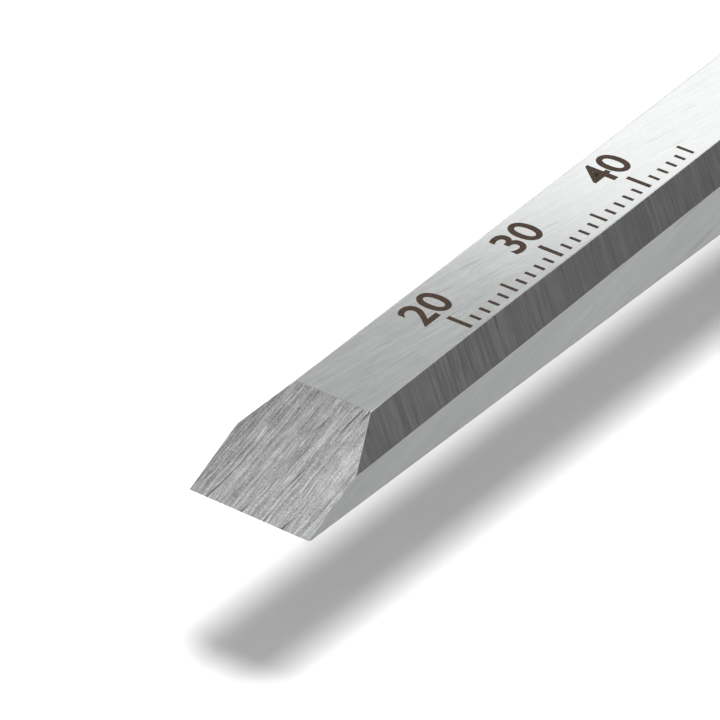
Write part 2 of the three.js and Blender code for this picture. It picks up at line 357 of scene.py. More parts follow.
def blade_materials():
    """One material for each face slot. The ground faces' steel differs in tone, lightest on the top and
    darkest on the side bevels: partly the grinds' own finish, partly painted light and shade.
    """
    # Painted shade and light: the main bevel's tone is darkened towards its far left corner and lightened
    # towards its near right one, so it rises across the bevel
    primary = ground_steel("primary_bevel_steel", leaning(PRIMARY_UP, -5.7, PRIMARY_NORMAL), PRIMARY_NORMAL,
                           (0.513, 0.518, 0.518), 0.7, 0.36, fine=6.0, length=1.4, band=0.1, grain=0.44,
                           painted_light_drift=(direction(0.75, -0.66, 0), -9.0, 1.0, 0.25, 0.09))
    top = ground_steel("blade_top_steel", leaning(ALONG, -10, UPWARD), UPWARD, (0.625, 0.64, 0.637),
                       0.065, 0.2, fine=5.0, length=1.3, band=0.24, grain=0.3)
    side_lines = leaning(SIDE_DOWN, -22, SIDE_NORMAL)
    side_right = side_bevel_steel("side_bevel_steel_right", side_lines, SIDE_NORMAL)
    side_left = side_bevel_steel("side_bevel_steel_left", mirrored(side_lines), mirrored(SIDE_NORMAL))
    # Painted light: the land's tone is darkened near the tip and lightened towards the handle
    land = ground_steel("side_land_steel", direction(0, 1, 0.25), RIGHTWARD, (0.55, 0.56, 0.56),
                        0.09, 0.32, fine=4.0, length=3.0, band=0.4, painted_light_drift=(ALONG, 4.0, 34.0, 0.07, 0.05))
    back = ground_steel("blade_back_steel", direction(0.1, 1, 0), UPWARD, (0.56, 0.565, 0.565),
                        0.08, 0.26, fine=6.0, length=6.0)
    # Painted shade: the edge steel is darker, to draw a dark line along the blade's edges and round the main
    # bevel
    edge = ground_steel("edge_steel_painted_dark", ALONG, UPWARD, (0.3, 0.31, 0.32), 0.1, 0.42,
                        fine=5.0, length=2.0)
    return [top, side_right, land, back, land, side_left, primary, edge, forged_steel()]


def forged_steel():
    """The neck and bolster: forged, then linished round, with the lines running round the tool."""
    finish = Finish("linished_neck_steel", metallic=1.0)
    lines = finish.turning_lines(9.0)
    grain = finish.noise(finish.place, 1.6, detail=4.0, roughness=0.65)
    cloud = finish.noise(finish.place, 0.22, detail=3.0)
    shade = finish.math("ADD", finish.scaled(lines, 0.55), finish.scaled(grain, 0.45))
    colour = finish.blend(finish.remap(shade, 0.35, 0.65), (0.42, 0.42, 0.42), (0.58, 0.58, 0.575))
    colour = finish.blend(finish.remap(cloud, 0.5, 0.72, 0.0, 0.45), colour, (0.33, 0.315, 0.3))
    rough = finish.remap(shade, 0.3, 0.7, 0.3, 0.46)
    return finish.set(Base_Color=colour, Roughness=rough, Normal=finish.bump(shade, 0.006))


CORNER_RADIUS = 0.03  # long edges, mm
CORNER_STEPS = 3
LEFT_TIP_ROUNDING = 0.06  # the cutting edge's two corners, seen from above
RIGHT_TIP_ROUNDING = 0.3
EDGE_LINE = 0.025  # width of the line round the main bevel, in the edge steel whose darker tone is painted shade
EDGE_FLAT = 0.02  # how far back the cutting edge itself is blunted
EDGE_LINE_FROM = 0.15  # height above the back from which the line has its full width
TOP_NARROWING = 0.15  # how far the right side bevel is ground into the top near the tip
NARROW_UNTIL = 20.0
FULL_WIDTH_FROM = 36.0
LEFT_SHOULDER_DROP = 0.12  # the left side bevel is ground a little steeper, except close to the tip
LEFT_SHOULDER_FALL = 0.0075  # per mm, up to that drop


def top_z(y):
    return BACK_Z + EDGE_THICKNESS + THICKNESS_TAPER * y


def section_corners(y):
    """Corners of the blade's section at y as (x, z), from the top left, clockwise seen from the tip."""
    share = min(1.0, max(0.0, (y - NARROW_UNTIL) / (FULL_WIDTH_FROM - NARROW_UNTIL)))
    narrowing = TOP_NARROWING * (1 - smooth(share))
    half_width = BLADE_WIDTH / 2
    half_top = TOP_WIDTH / 2
    top = top_z(y)
    shoulder = top - SIDE_BEVEL_SLOPE * (half_width - half_top)
    left_drop = min(LEFT_SHOULDER_DROP, LEFT_SHOULDER_FALL * y)
    return [
        Vector((-half_top, top)), Vector((half_top - narrowing, top)),
        Vector((half_width, shoulder - narrowing / 2)), Vector((half_width, BACK_Z)),
        Vector((-half_width, BACK_Z)), Vector((-half_width, shoulder - left_drop)),
    ]


# Where each side of the section has its points, closer together near the corners
SIDE_SHARES = (0.0, 0.012, 0.04, 0.12, 0.25, 0.375, 0.5, 0.625, 0.75, 0.88, 0.96, 0.988)


def section(y):
    """The section at y with eased corners: its points as (x, z), and the face slot after each point."""
    corners = section_corners(y)
    points, slots = [], []
    for i, corner in enumerate(corners):
        following = corners[(i + 1) % SIDES]
        back = (corners[i - 1] - corner).normalized()
        ahead = (following - corner).normalized()
        start = corner + back * CORNER_RADIUS
        end = corner + ahead * CORNER_RADIUS
        side_end = following - ahead * CORNER_RADIUS
        points += bend(start, corner, end, CORNER_STEPS)[:-1]
        slots += [EDGE] * CORNER_STEPS
        points += [end.lerp(side_end, share) for share in SIDE_SHARES]
        slots += [i] * len(SIDE_SHARES)
    return points, slots


def line_point(i, y):
    """The point at y on the i-th of the lengthwise lines that the section's points draw."""
    x, z = section(y)[0][i]
    return x, y, z


BEHIND_BEVEL = 20.0  # a y that the main bevel doesn't reach
HALVINGS = 40


def bevel_start(i):
    """y at which the i-th lengthwise line meets the main bevel, or the rounding of the cutting edge."""
    low, high = 0.0, BEHIND_BEVEL
    for _ in range(HALVINGS):
        y = (low + high) / 2
        if line_point(i, y)[2] - BACK_Z > GRINDING_SLOPE * y:
            low = y
        else:
            high = y
    x = line_point(i, low)[0]
    radius = LEFT_TIP_ROUNDING if x < 0 else RIGHT_TIP_ROUNDING
    inner = BLADE_WIDTH / 2 - radius
    reach = min(radius, max(0.0, abs(x) - inner))
    return max(low, radius - math.sqrt(radius ** 2 - reach ** 2))


BEVEL_MIDDLE_Y = 4.6
BEVEL_MIDDLE = Vector((0.0, BEVEL_MIDDLE_Y, BACK_Z + BEVEL_MIDDLE_Y * GRINDING_SLOPE))


def bevel_outline(count):
    """Two rings round the main bevel, with the line of edge steel between them, whose darker tone is painted
    shade.
    """
    inner, outer = [], []
    for i in range(count):
        start = bevel_start(i)
        on_bevel = Vector((line_point(i, start)[0], start, BACK_Z + start * GRINDING_SLOPE))
        height = (on_bevel.z - BACK_Z) / EDGE_LINE_FROM
        width = max(EDGE_LINE * min(1.0, height), EDGE_FLAT * (1 - height))
        inner.append(tuple(on_bevel + (BEVEL_MIDDLE - on_bevel).normalized() * width))
        outer.append(line_point(i, start + width))
    return inner, outer


# Where the ground blade has its rings, as shares of the way from the bevel to the shoulder
RING_SHARES = (0.02, 0.06, 0.1, 0.14, 0.18, 0.22, 0.26, 0.3, 0.34, 0.46, 0.66, 0.84, 0.95, 1.0)


def ground_rings():
    """Rings from the main bevel to the shoulder, where the grinding ends."""
    inner, outer = bevel_outline(len(section(0)[0]))
    rings = [inner, outer]
    for share in RING_SHARES:
        rings.append([line_point(i, start + (BLADE_LENGTH - start) * share)
                      for i, (_, start, _) in enumerate(outer)])
    return rings


BLADE_BOX_HI = mm_box("blade")[1]
SHOULDER_STEPS = 20
NECK_RADIUS = 3.9
FLARE_START = BLADE_LENGTH + 20.0
FLARE_LENGTH = 5.0
FLARE_STEPS = 18
BOLSTER_RADIUS = BLADE_BOX_HI.x
BOLSTER_EASE = 0.6
FACE_GAP = 0.05  # between pieces that bear on each other
BOLSTER_END = mm_box("bolster_washer")[0].y - FACE_GAP
TANG_RADIUS = 3.4


def neck_ring(y, radius, roundness):
    """The shoulder's section carried to y and drawn towards a circle."""
    ring = []
    for x, z in section(BLADE_LENGTH)[0]:
        scale = 1 + (radius / math.hypot(x, z) - 1) * roundness
        ring.append((x * scale, y, z * scale))
    return ring


def forged_rings():
    """Rings from behind the shoulder to the tang's end."""
    rings = []
    for step in range(1, SHOULDER_STEPS + 1):
        share = step / SHOULDER_STEPS
        rings.append(neck_ring(BLADE_LENGTH + TRANSITION_LENGTH * share, NECK_RADIUS, smooth(share)))
    flare = BOLSTER_RADIUS - BOLSTER_EASE - NECK_RADIUS
    profile = []
    for step in range(FLARE_STEPS + 1):
        angle = math.pi / 2 * step / FLARE_STEPS
        profile.append((NECK_RADIUS + flare * (1 - math.cos(angle)),
                        FLARE_START + FLARE_LENGTH * math.sin(angle)))
    front = FLARE_START + FLARE_LENGTH
    profile += eased([(BOLSTER_RADIUS - BOLSTER_EASE, front), (BOLSTER_RADIUS, front),
                      (BOLSTER_RADIUS, BOLSTER_END), (TANG_RADIUS, BOLSTER_END)], BOLSTER_EASE)[1:]
    profile.append((TANG_RADIUS, BLADE_BOX_HI.y))
    return rings + [neck_ring(y, radius, 1.0) for radius, y in profile]


CRISP_ANGLE = math.radians(9)
TIP_LENGTH = 10.0
SAME_POINT = 1e-7  # metres


def keep_crisp(obj):
    """Joins points that coincide, and keeps the main bevel's outline and the tip's edges from smoothing."""
    mesh = bmesh.new()
    mesh.from_mesh(obj.data)
    bmesh.ops.remove_doubles(mesh, verts=mesh.verts, dist=SAME_POINT)
    for edge in mesh.edges:
        kinds = {face.material_index for face in edge.link_faces}
        bent = edge.calc_face_angle(0.0) > CRISP_ANGLE
        at_tip = min(v.co.y for v in edge.verts) < ORIGIN.y + TIP_LENGTH * MM
        if PRIMARY in kinds or (EDGE in kinds and len(kinds) > 1 and bent and at_tip):
            edge.smooth = False
    mesh.to_mesh(obj.data)
    mesh.free()


def blade():
    ground = ground_rings()
    forged = forged_rings()
    section_slots = section(0)[1]
    slots = [EDGE] * len(section_slots)
    slots += section_slots * (len(ground) - 2)
    slots += [FORGED] * (len(section_slots) * len(forged))
    slots += [PRIMARY, FORGED]
    vertices, faces = skin(ground + forged)
    obj = piece("ground_blade", vertices, faces, blade_materials(), "ground_steel", face_slots=slots)
    keep_crisp(obj)
    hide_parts("blade")


blade()

# ---- Etched depth scale ----

SCALE_START, SCALE_END = 20, 45  # mm from the cutting edge
TICK_WIDTH = 0.24
TEN_WIDTH = TICK_WIDTH * 1.35
TEN_LENGTH, FIVE_LENGTH, ONE_LENGTH = 1.9, 1.35, 0.85  # ticks of every 10, 5 and 1 mm
TICK_RIGHT = 2.5  # x of the ticks' outer ends
TICK_ROOT = 0.03  # how far the ticks' bodies go into the steel
NUMERAL_SIZE = 3.5
NUMERAL_X = -1.0  # x of the numerals' middles
NUMERAL_BOLDNESS = 0.016
ETCH_HEIGHT = 0.012


def etch_steel():
    finish = Finish("etched_mark")
    grain = finish.noise(finish.place, 7.0, detail=3.0, roughness=0.7)
    colour = finish.blend(finish.remap(grain, 0.35, 0.68), (0.028, 0.018, 0.013), (0.075, 0.05, 0.036))
    return finish.set(Base_Color=colour, Roughness=finish.remap(grain, 0.3, 0.7, 0.6, 0.85),
                      Specular_IOR_Level=0.15, Normal=finish.bump(grain, 0.004))


def block(lo, hi):
    """Vertices and faces of a flat-sided block between two corners."""
    vertices = [(x, y, z) for z in (lo[2], hi[2]) for y in (lo[1], hi[1]) for x in (lo[0], hi[0])]
    faces = [(0, 2, 3, 1), (4, 5, 7, 6), (0, 1, 5, 4), (2, 6, 7, 3), (0, 4, 6, 2), (1, 3, 7, 5)]
    return vertices, faces


def numerals(text, size):
    """Vertices and faces of upright numerals, size mm high, centred on the origin."""
    curve = bpy.data.curves.new("numerals", "FONT")
    curve.body = text
    curve.size = size
    curve.align_x = "CENTER"
    curve.align_y = "CENTER"
    curve.extrude = ETCH_HEIGHT
    curve.offset = size * NUMERAL_BOLDNESS
    curve.resolution_u = 6
    obj = bpy.data.objects.new("numerals", curve)
    mesh = bpy.data.meshes.new_from_object(obj)
    vertices = [tuple(v.co) for v in mesh.vertices]
    faces = [tuple(p.vertices) for p in mesh.polygons]
    bpy.data.objects.remove(obj)
    bpy.data.curves.remove(curve)
    bpy.data.meshes.remove(mesh)
    return vertices, faces


def depth_scale():
    """Millimetre ticks and plain numerals, read from the edge towards the handle."""
    vertices, faces = [], []

    def add(part_vertices, part_faces):
        base = len(vertices)
        vertices.extend(part_vertices)
        faces.extend(tuple(base + i for i in face) for face in part_faces)

    for y in range(SCALE_START, SCALE_END + 1):
        length = TEN_LENGTH if y % 10 == 0 else FIVE_LENGTH if y % 5 == 0 else ONE_LENGTH
        half = (TEN_WIDTH if y % 10 == 0 else TICK_WIDTH) / 2
        z = top_z(y)
        add(*block((TICK_RIGHT - length, y - half, z - TICK_ROOT), (TICK_RIGHT, y + half, z + ETCH_HEIGHT)))
    for y in range(SCALE_START, SCALE_END + 1, 10):
        points, polygons = numerals(str(y), NUMERAL_SIZE)
        add([(NUMERAL_X - py, y + px, top_z(y) + THICKNESS_TAPER * px + pz) for px, py, pz in points],
            polygons)
    piece("etched_depth_scale", vertices, faces, [etch_steel()], "ground_steel")


depth_scale()

# ---- Handle ----

HANDLE_LO, HANDLE_HI = mm_box("handle")
FERRULE_HI = mm_box("front_ferrule")[1]
HOOP_LO, HOOP_HI = mm_box("rear_ferrule")
FLATS = 8
FACET_ANGLE = 2 * math.pi / FLATS
HALF_FLATS = HANDLE_HI.x
CORNER_EASE = 15.02  # radius that the octagon's corners are sanded down to
TURNED_RADIUS = 15.4  # of the blank, before the flats are planed
FRONT_RADIUS = FERRULE_HI.z  # where the wood meets the front ferrule
REAR_RADIUS = HOOP_HI.z
FRONT_SPIGOT_STEP = 1.45  # how much thinner the wood is inside the ferrules
REAR_SPIGOT_STEP = 1.3
COVE_LENGTH = 13.0
COVE_STEPS = 14
COVE_EASE = 0.45
REAR_ROUNDING = 11.0
REAR_STEPS = 12
REAR_EASE = 0.3
PITH_OFFSET = (-34.0, 0.0, 47.0)  # from the tree's pith to the handle's axis
RING_WIDTH = 2.7


def ash():
    """Oiled ash: rings about a pith outside the blank, open pores in the early wood, and long fibres."""
    finish = Finish("oiled_ash")
    scaled = finish.scaled
    wander = finish.drawn_out(0.03, 0.012)
    ripple = finish.drawn_out(0.35, 0.03, 3.0)
    fibre = finish.drawn_out(7.0, 0.09, 3.0, 0.6)
    pore = finish.drawn_out(3.6, 0.22, 1.0)
    tone = finish.drawn_out(0.06, 0.02)
    from_pith = finish.vector("MULTIPLY", finish.vector("ADD", finish.place, PITH_OFFSET), (1.0, 0.0, 1.0))
    radius = finish.math("ADD", finish.vector("LENGTH", from_pith), scaled(wander, 16.0))
    radius = finish.math("ADD", radius, scaled(ripple, 1.3))
    ring = finish.math("FRACT", finish.math("DIVIDE", radius, RING_WIDTH))
    early = finish.math("MULTIPLY", finish.remap(ring, 0.0, 0.06), finish.remap(ring, 0.2, 0.48, 1.0, 0.0))
    late = finish.remap(ring, 0.55, 1.0)
    pores = finish.math("MULTIPLY", finish.remap(pore, 0.56, 0.66), early)
    colour = finish.blend(finish.remap(tone, 0.3, 0.7), (0.41, 0.26, 0.125), (0.5, 0.335, 0.175))
    colour = finish.blend(scaled(late, 0.55), colour, (0.34, 0.195, 0.085))
    colour = finish.blend(scaled(early, 0.4), colour, (0.31, 0.17, 0.073))
    colour = finish.blend(finish.remap(fibre, 0.4, 0.75, 0.0, 0.4), colour, (0.29, 0.165, 0.072))
    colour = finish.blend(scaled(pores, 0.8), colour, (0.15, 0.075, 0.03))
    # Handling has worn the octagon's corners pale, and the wood is darker in patches close to the front
    # ferrule
    worn = finish.math("MULTIPLY", finish.remap(finish.from_axis(), CORNER_EASE - 0.3, CORNER_EASE),
                       finish.remap(fibre, 0.35, 0.6))
    colour = finish.blend(scaled(worn, 0.35), colour, (0.58, 0.42, 0.24))
    y = finish.split(finish.place)[1]
    near_ferrule_darkening = finish.math("MULTIPLY", finish.remap(y, FERRULE_HI.y, FERRULE_HI.y + 9.0, 1.0, 0.0),
                        finish.remap(ripple, 0.35, 0.65))
    colour = finish.blend(scaled(near_ferrule_darkening, 0.4), colour, (0.2, 0.11, 0.05))
    height = finish.math("SUBTRACT", scaled(fibre, 0.3), pores)
    rough = finish.remap(finish.math("ADD", scaled(fibre, 0.5), scaled(pores, 0.5)), 0.15, 0.6, 0.36, 0.56)
    return finish.set(Base_Color=colour, Roughness=rough, Normal=finish.bump(height, 0.05),
                      Coat_Weight=0.12, Coat_Roughness=0.25)


def wood_column(theta):
    """The handle's (radius, y) profile at one angle round the axis: turned, then planed to eight flats."""
    facet = (theta + FACET_ANGLE / 2) % FACET_ANGLE - FACET_ANGLE / 2
    planed = min(HALF_FLATS / math.cos(facet), CORNER_EASE)
    cove_start = FERRULE_HI.y + FACE_GAP
    hoop_start = HOOP_LO.y - FACE_GAP
    rise = TURNED_RADIUS - FRONT_RADIUS
    fall = TURNED_RADIUS - REAR_RADIUS
    cove_turn = math.acos(1 - (planed - FRONT_RADIUS) / rise)
    rear_turn = math.acos((planed - REAR_RADIUS) / fall)
    cove = []
    for step in range(COVE_STEPS + 1):
        turn = cove_turn * step / COVE_STEPS
        cove.append((FRONT_RADIUS + rise * (1 - math.cos(turn)), cove_start + COVE_LENGTH * math.sin(turn)))
    rear = []
    for step in range(REAR_STEPS + 1):
        turn = rear_turn + (math.pi / 2 - rear_turn) * step / REAR_STEPS
        rear.append((REAR_RADIUS + fall * math.cos(turn),
                     hoop_start - REAR_ROUNDING * (1 - math.sin(turn))))
    y_from, y_to = cove[-1][1], rear[0][1]
    flat = [(planed, y_from + (y_to - y_from) * share) for share in (0.02, 0.1, 0.3, 0.5, 0.7, 0.9, 0.98)]
    front_corner = eased([cove[-2], cove[-1], flat[0]], COVE_EASE)[1:-1]
    rear_corner = eased([flat[-1], rear[0], rear[1]], REAR_EASE)[1:-1]
    front_spigot = FRONT_RADIUS - FRONT_SPIGOT_STEP
    rear_spigot = REAR_RADIUS - REAR_SPIGOT_STEP
    return [
        (front_spigot, HANDLE_LO.y), (front_spigot, cove_start),
        *cove[:-1], *front_corner, *flat, *rear_corner, *rear[1:],
        (rear_spigot, hoop_start), (rear_spigot, HANDLE_HI.y),
    ]


def facet_angles():
    """Angles round the axis, closer together at the eight edges."""
    shares = (-1.0, -0.975, -0.95, -0.925, -0.88, -0.78, -0.62, -0.42, -0.2, 0.0,
              0.2, 0.42, 0.62, 0.78, 0.88, 0.925, 0.95, 0.975)
    return [FACET_ANGLE * side + FACET_ANGLE / 2 * share for side in range(FLATS) for share in shares]


def handle():
    angles = facet_angles()
    columns = [wood_column(theta) for theta in angles]
    rings = []
    for level in zip(*columns):
        rings.append([(radius * math.sin(theta), y, radius * math.cos(theta))
                      for theta, (radius, y) in zip(angles, level)])
    obj = piece("ash_handle", *skin(rings), [ash()], "ash", 34.0)
    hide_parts("handle")


handle()

# ---- Ferrules, brads and washers ----


def brass():
    finish = Finish("turned_brass", metallic=1.0)
    lines = finish.turning_lines(8.0)
    smudge = finish.noise(finish.place, 0.22, detail=4.0, roughness=0.6)
    speck = finish.noise(finish.place, 1.3, detail=3.0, roughness=0.7)
    colour = finish.blend(finish.remap(lines, 0.35, 0.65), (0.62, 0.42, 0.17), (0.76, 0.55, 0.25))
    colour = finish.blend(finish.remap(smudge, 0.45, 0.7, 0.0, 0.7), colour, (0.42, 0.25, 0.1))
    colour = finish.blend(finish.remap(speck, 0.66, 0.74, 0.0, 0.6), colour, (0.2, 0.12, 0.055))
    rough = finish.remap(smudge, 0.35, 0.7, 0.24, 0.42)
    return finish.set(Base_Color=colour, Roughness=rough, Normal=finish.bump(lines, 0.006))


def leather():
    finish = Finish("waxed_leather")
    layers = finish.drawn_out(0.0, 3.2, 3.0, 0.6)
    fibre = finish.noise(finish.place, 3.0, detail=5.0, roughness=0.7)
    colour = finish.blend(finish.remap(layers, 0.3, 0.7), (0.13, 0.055, 0.024), (0.26, 0.125, 0.058))
    colour = finish.blend(finish.remap(fibre, 0.42, 0.7, 0.0, 0.6), colour, (0.07, 0.03, 0.014))
    height = finish.math("ADD", finish.scaled(layers, 0.6), finish.scaled(fibre, 0.4))
    return finish.set(Base_Color=colour, Roughness=finish.remap(fibre, 0.3, 0.7, 0.5, 0.78),
                      Normal=finish.bump(height, 0.16))


BRASS = brass()
LEATHER = leather()
BEAD_RADIUS = 0.62
BEAD_STEPS = 10
BEAD_FLAT = 0.2  # between the bead and the countersunk mouth
MOUTH_DEPTH = 0.35
GROOVE_DEPTH = 0.36
GROOVE_START, GROOVE_END = 0.06, 0.32  # behind the bead
BARREL_SWELL = 0.03  # the barrel grows this much from the groove on
FULL_LENGTH = 1.1  # of the barrel's full radius, at its plain end
RIM_EASE = 0.12


def ferrule(node, name, inner, bead_first):
    """A drawn brass tube with one end rolled into a bead, and a turned groove behind the bead."""
    lo, hi = mm_box(node)
    outer = hi.z
    length = hi.y - lo.y
    bead = []
    for step in range(BEAD_STEPS):
        turn = math.pi * (step / BEAD_STEPS - 0.5)
        bead.append((outer - BEAD_RADIUS * (1 - math.cos(turn)), BEAD_RADIUS * (1 + math.sin(turn))))
    barrel = eased([(outer - GROOVE_DEPTH, 2 * BEAD_RADIUS + GROOVE_START),
                    (outer - BARREL_SWELL, 2 * BEAD_RADIUS + GROOVE_END),
                    (outer, length - FULL_LENGTH), (outer, length), (inner, length)], RIM_EASE, steps=3)
    profile = [(inner, MOUTH_DEPTH), (outer - BEAD_RADIUS - BEAD_FLAT, 0.0), *bead, *barrel]
    if bead_first:
        profile = [(radius, lo.y + y) for radius, y in profile]
    else:
        profile = [(radius, hi.y - y) for radius, y in reversed(profile)]
    obj = piece(name, *tube(profile), [BRASS], "brass", 35.0)
    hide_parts(node)


ferrule("front_ferrule", "brass_front_ferrule", 9.05, True)
ferrule("rear_ferrule", "brass_rear_ferrule", 11.6, False)

BRAD_SHANK = 0.65  # radius
BRAD_POINT = 1.0
BRAD_RIM = 0.1  # the head's straight side
BRAD_DOME = 0.4
DOME_STEPS = 8
BRAD_SIDES = 40


def brad(node, name):
    """A domed nail through the ferrule's side, with a hammered head."""
    lo, hi = mm_box(node)
    head = (hi.z - lo.z) / 2
    centre = (lo + hi) / 2
    seat = hi.x - BRAD_RIM - BRAD_DOME
    profile = [(POLE_RADIUS, lo.x - seat), (BRAD_SHANK, lo.x - seat + BRAD_POINT), (BRAD_SHANK, 0.0),
               (head, 0.0), (head, BRAD_RIM)]
    for step in range(1, DOME_STEPS + 1):
        turn = math.pi / 2 * step / DOME_STEPS
        profile.append((max(POLE_RADIUS, head * math.cos(turn)), BRAD_RIM + BRAD_DOME * math.sin(turn)))
    rings = []
    for radius, reach in profile:
        ring = []
        for i in range(BRAD_SIDES):
            turn = 2 * math.pi * i / BRAD_SIDES
            ring.append((seat + reach, centre.y + radius * math.sin(turn),
                         centre.z - radius * math.cos(turn)))
        rings.append(ring)
    obj = piece(name, *skin(rings), [BRASS], "brass", 40.0)
    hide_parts(node)


brad("front_ferrule_brad", "front_brad")
brad("rear_ferrule_brad", "rear_brad")

WASHER_HOLE = 3.8  # radius
WASHER_SIDES = 144
RIM_ROOM = 0.12  # left for the unevenness, inside the CAD washer
BULGE = 0.15  # how far the rim's middle stands out
BULGE_SHARE = 0.3  # of the thickness, over which the rim slopes
LEATHER_EASE = 0.35
RIM_WAVES = ((0.06, 3, 1), (0.035, 11, 2))  # mm high, waves round the rim, radians of twist per mm of y


def washer(node, name):
    """A cut leather washer: a slightly bulged, uneven rim."""
    lo, hi = mm_box(node)
    outer = hi.z - RIM_ROOM
    slope = (hi.y - lo.y) * BULGE_SHARE
    profile = eased([(WASHER_HOLE, lo.y), (outer - BULGE, lo.y), (outer, lo.y + slope),
                     (outer, hi.y - slope), (outer - BULGE, hi.y), (WASHER_HOLE, hi.y)], LEATHER_EASE)
    vertices, faces = tube(profile, WASHER_SIDES)
    uneven = []
    for x, y, z in vertices:
        turn = math.atan2(x, z)
        reach = math.hypot(x, z)
        wobble = sum(high * math.sin(waves * turn + twist * y) for high, waves, twist in RIM_WAVES)
        scale = 1 + wobble / reach if reach > WASHER_HOLE + 1 else 1
        uneven.append((x * scale, y, z * scale))
    obj = piece(name, uneven, faces, [LEATHER], "leather", 50.0)
    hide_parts(node)


washer("bolster_washer", "leather_bolster_washer")
washer("strike_washer", "leather_strike_washer")

# ---- Strike cap and grub screw ----

CAP_LO, CAP_HI = mm_box("strike_cap")
CAP_CHAMFER_IN, CAP_CHAMFER_ALONG = 0.3, 0.5  # the front rim's
STRUCK_RIM = ((0.0, 1.8), (0.5, 0.55), (1.8, 0.0))  # corners: in from the side, and in from the struck face
CAP_EASE = 1.0
CAP_SIDES = 160
CAP_SHARP_ANGLE = 40.0
SCREW_LO, SCREW_HI = mm_box("cap_grub_screw")
SCREW_Y = (SCREW_LO.y + SCREW_HI.y) / 2
SCREW_RADIUS = (SCREW_HI.z - SCREW_LO.z) / 2
SCREW_CLEARANCE = 0.25
CUTTER_OVERSHOOT = 2.0  # past the cap's side
SCREW_POINT = 0.3
SCREW_RIM = ((0.25, 0.0), (0.08, 0.06), (0.0, 0.25))  # corners: in from the end, and in from the side
SOCKET_RADIUS = 1.15
SOCKET_DEPTH = 2.2
SOCKET_CHAMFER_IN, SOCKET_CHAMFER_OUT = 0.08, 0.05  # along the screw, and away from its axis
HEXAGON = 6


def cap_steel():
    """Turned steel, with a struck face bruised by a mallet."""
    finish = Finish("struck_cap_steel", metallic=1.0)
    y = finish.split(finish.place)[1]
    lines = finish.noise(finish.join(finish.scaled(finish.from_axis(), 7.0), finish.scaled(y, 7.0)),
                         1.0, 3.0, 0.7)
    cloud = finish.noise(finish.place, 0.3, detail=5.0, roughness=0.65)
    dent = finish.noise(finish.place, 0.34, detail=0.5, roughness=0.4)
    struck = finish.remap(y, CAP_HI.y - 2.2, CAP_HI.y - 0.3)
    bruised = finish.math("MULTIPLY", finish.remap(dent, 0.3, 0.8), struck)
    colour = finish.blend(finish.remap(lines, 0.35, 0.65), (0.44, 0.44, 0.44), (0.53, 0.53, 0.527))
    colour = finish.blend(finish.remap(cloud, 0.52, 0.72, 0.0, 0.6), colour, (0.24, 0.21, 0.185))
    colour = finish.blend(finish.scaled(bruised, 0.5), colour, (0.6, 0.6, 0.6))
    rough = finish.math("ADD", finish.remap(cloud, 0.35, 0.7, 0.3, 0.46), finish.scaled(bruised, 0.06))
    height = finish.math("SUBTRACT", finish.scaled(lines, 0.03), bruised)
    return finish.set(Base_Color=colour, Roughness=rough, Normal=finish.bump(height, 0.16))


def side_rings(stations, count=48):
    """Rings round the grub screw's axis, along X, from (x, radius, corners): no corners is a circle."""
    rings = []
    for x, radius, corners in stations:
        ring = []
        for i in range(count):
            turn = 2 * math.pi * i / count
            reach = radius
            if corners:
                slice_angle = 2 * math.pi / corners
                off = turn % slice_angle - slice_angle / 2
                reach = radius * math.cos(math.pi / corners) / math.cos(off)
            ring.append((x, SCREW_Y + reach * math.sin(turn), -reach * math.cos(turn)))
        rings.append(ring)
    return rings


def bore_screw_hole(cap):
    """Cuts the grub screw's hole in from the cap's side."""
    radius = SCREW_RADIUS + SCREW_CLEARANCE
    rings = side_rings([(SCREW_LO.x, radius, 0), (CAP_HI.z + CUTTER_OVERSHOOT, radius, 0)])
    cutter = piece("cutter", *skin(rings), list(cap.data.materials), "cap_steel")
    hole = cap.modifiers.new("hole", "BOOLEAN")
    hole.operation = "DIFFERENCE"
    hole.object = cutter
    hole.solver = "EXACT"
    cut = bpy.data.meshes.new_from_object(cap.evaluated_get(bpy.context.evaluated_depsgraph_get()))
    cap.modifiers.clear()
    cap.data = cut
    cut.set_sharp_from_angle(angle=math.radians(CAP_SHARP_ANGLE))
    bpy.data.objects.remove(cutter)


def strike_cap():
    radius = CAP_HI.z
    corners = [(POLE_RADIUS, CAP_LO.y), (radius - CAP_CHAMFER_IN, CAP_LO.y),
               (radius, CAP_LO.y + CAP_CHAMFER_ALONG)]
    corners += [(radius - inward, CAP_HI.y - below) for inward, below in STRUCK_RIM]
    corners.append((POLE_RADIUS, CAP_HI.y))
    vertices, faces = turned(eased(corners, CAP_EASE, steps=5), CAP_SIDES)
    obj = piece("steel_strike_cap", vertices, faces, [cap_steel()], "cap_steel", CAP_SHARP_ANGLE)
    bore_screw_hole(obj)
    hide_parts("strike_cap")


def black_oxide():
    finish = Finish("black_oxide_steel", metallic=1.0)
    grain = finish.noise(finish.place, 4.0, detail=4.0, roughness=0.7)
    colour = finish.blend(finish.remap(grain, 0.4, 0.7), (0.035, 0.035, 0.038), (0.1, 0.1, 0.105))
    return finish.set(Base_Color=colour, Roughness=finish.remap(grain, 0.3, 0.7, 0.35, 0.55),
                      Normal=finish.bump(grain, 0.01))


def grub_screw():
    """A slightly pointed screw with a hexagon socket."""
    out = SCREW_HI.x
    stations = [(SCREW_LO.x, SCREW_RADIUS - SCREW_POINT, 0), (SCREW_LO.x + SCREW_POINT, SCREW_RADIUS, 0)]
    stations += [(out - back, SCREW_RADIUS - inward, 0) for back, inward in SCREW_RIM]
    stations += [(out, SOCKET_RADIUS + SOCKET_CHAMFER_OUT, HEXAGON),
                 (out - SOCKET_CHAMFER_IN, SOCKET_RADIUS, HEXAGON),
                 (out - SOCKET_DEPTH, SOCKET_RADIUS, HEXAGON)]
    obj = piece("grub_screw", *skin(side_rings(stations)), [black_oxide()], "black_steel", 25.0)
    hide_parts("cap_grub_screw")


strike_cap()
grub_screw()

# ---- Studio ----

